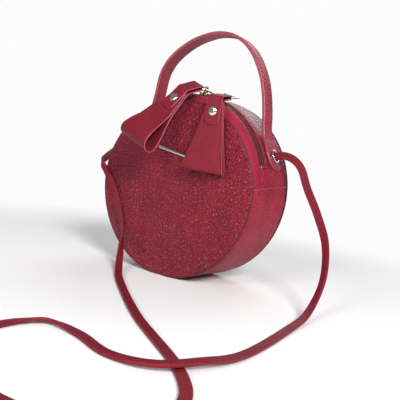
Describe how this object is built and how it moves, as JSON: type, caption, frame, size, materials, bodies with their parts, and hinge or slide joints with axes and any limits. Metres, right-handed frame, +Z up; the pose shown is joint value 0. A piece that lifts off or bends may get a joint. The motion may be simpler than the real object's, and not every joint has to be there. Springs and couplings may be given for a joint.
{
  "type": "round zip-top bag",
  "caption": "Round drum-shaped leather bag with a curved two-way zip, long leather zip pulls, an arched top handle and a long narrow shoulder strap.",
  "frame": {"origin": "centre of the flat patch under the drum that the bag rests on", "axes": "+Z up, the front panel faces -Y, +X to the right seen from the front"},
  "size_m": [0.3073, 0.3473, 0.243],
  "materials": {
    "pebbled_leather": "coarse pebbled grain, satin",
    "smooth_leather": "smooth, satin",
    "zip_tape": "woven tape",
    "zip_coil": "satin coil",
    "slider_metal": "polished, pale gold-silver",
    "polished_metal": "polished silver",
    "lining_cloth": "plain weave",
    "binding_tape": "woven tape",
    "stiffening_board": "plain board"
  },
  "bodies": {
    "bag": {"front_panel": "pebbled_leather", "back_panel": "pebbled_leather", "lower_gusset": "pebbled_leather", "front_zip_strip": "smooth_leather", "rear_zip_strip": "pebbled_leather", "zip_end_piece_left": "smooth_leather", "zip_end_piece_right": "smooth_leather", "zip_tape_front": "zip_tape", "zip_tape_rear": "zip_tape", "zip_coil_front": "zip_coil", "zip_coil_rear": "zip_coil", "zip_stop_left": "slider_metal", "zip_stop_right": "slider_metal", "handle_tab_left": "pebbled_leather", "handle_tab_right": "pebbled_leather", "eyelet_left": "polished_metal", "eyelet_right": "polished_metal", "eyelet_washer_left": "polished_metal", "eyelet_washer_right": "polished_metal", "shoulder_strap": "smooth_leather", "strap_knot_left": "smooth_leather", "strap_knot_right": "smooth_leather", "plain_metal_bar": "polished_metal", "front_board": "stiffening_board", "back_board": "stiffening_board", "lining_front": "lining_cloth", "lining_back": "lining_cloth", "lining_gusset": "lining_cloth", "front_seam_binding": "binding_tape", "back_seam_binding": "binding_tape"},
    "left_slider": {"slider_left": "slider_metal"},
    "right_slider": {"slider_right": "slider_metal"},
    "left_ring": {"pull_ring_left": "polished_metal"},
    "right_ring": {"pull_ring_right": "polished_metal"},
    "left_pull": {"leather_pull_left": "smooth_leather", "rivet_left": "polished_metal", "rivet_back_left": "polished_metal"},
    "right_pull": {"leather_pull_right": "smooth_leather", "rivet_right": "polished_metal", "rivet_back_right": "polished_metal"},
    "handle": {"handle": "pebbled_leather"}
  },
  "joints": [
    {"name": "left_slider_travel", "type": "hinge", "parent": "bag", "child": "left_slider", "pos_m": [0, -0.015, 0.089], "axis": [0, 1, 0], "range_deg": [-68, 0]},
    {"name": "right_slider_travel", "type": "hinge", "parent": "bag", "child": "right_slider", "pos_m": [0, -0.015, 0.089], "axis": [0, 1, 0], "range_deg": [-3, 44]},
    {"name": "left_ring_swing", "type": "hinge", "parent": "left_slider", "child": "left_ring", "pos_m": [0.01157, -0.015, 0.18319], "axis": [0.9198, -0.1523, -0.3616], "range_deg": [-85, 0]},
    {"name": "right_ring_swing", "type": "hinge", "parent": "right_slider", "child": "right_ring", "pos_m": [0.03401, -0.015, 0.1776], "axis": [0.9829, 0.1786, -0.0436], "range_deg": [-85, 0]},
    {"name": "left_pull_swing", "type": "hinge", "parent": "left_ring", "child": "left_pull", "pos_m": [0.01223, -0.03024, 0.18357], "axis": [0.9198, -0.1523, -0.3616], "range_deg": [-60, 0]},
    {"name": "right_pull_swing", "type": "hinge", "parent": "right_ring", "child": "right_pull", "pos_m": [0.04205, -0.02856, 0.1748], "axis": [0.9829, 0.1786, -0.0436], "range_deg": [-60, 0]},
    {"name": "handle_fold", "type": "hinge", "parent": "bag", "child": "handle", "pos_m": [0, 0.009, 0.16353], "axis": [1, 0, 0], "range_deg": [-75, 60]}
  ]
}
